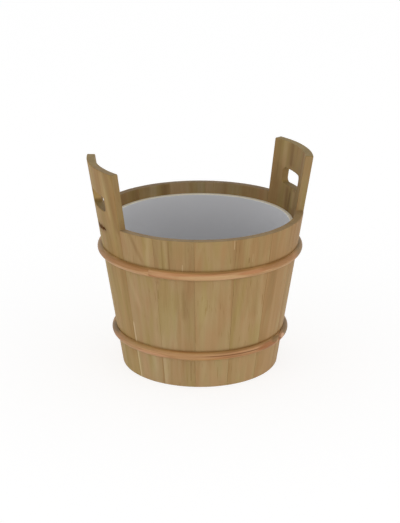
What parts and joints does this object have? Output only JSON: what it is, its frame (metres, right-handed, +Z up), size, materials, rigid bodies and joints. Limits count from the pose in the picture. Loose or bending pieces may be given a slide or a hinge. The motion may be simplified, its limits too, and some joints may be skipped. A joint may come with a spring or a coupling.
{
  "type": "wooden bucket",
  "caption": "Round coopered bucket, wider at the rim, with upright ears with hand holes, half-round hoops, a board bottom and a thin liner inside.",
  "frame": {"origin": "on the floor under the middle of the bucket", "axes": "+Z up along the bucket's axis, the two ears on +X and -X, Y across"},
  "size_m": [0.2704, 0.2498, 0.2596],
  "materials": {
    "stave_wood": "planed and oiled, satin",
    "ear_wood": "planed and oiled, satin",
    "bottom_wood": "planed, matt",
    "hoop_wood": "planed and oiled, satin",
    "liner_plastic": "moulded, satin"
  },
  "bodies": {
    "root": {"front_stave_1": "stave_wood", "front_stave_2": "stave_wood", "front_stave_3": "stave_wood", "front_stave_4": "stave_wood", "front_stave_5": "stave_wood", "front_stave_6": "stave_wood", "back_stave_1": "stave_wood", "back_stave_2": "stave_wood", "back_stave_3": "stave_wood", "back_stave_4": "stave_wood", "back_stave_5": "stave_wood", "back_stave_6": "stave_wood", "right_ear_stave_1": "ear_wood", "right_ear_stave_2": "ear_wood", "left_ear_stave_1": "ear_wood", "left_ear_stave_2": "ear_wood", "bottom_board_1": "bottom_wood", "bottom_board_2": "bottom_wood", "bottom_board_3": "bottom_wood", "bottom_board_4": "bottom_wood", "upper_hoop": "hoop_wood", "lower_hoop": "hoop_wood", "liner": "liner_plastic"}
  },
  "joints": []
}
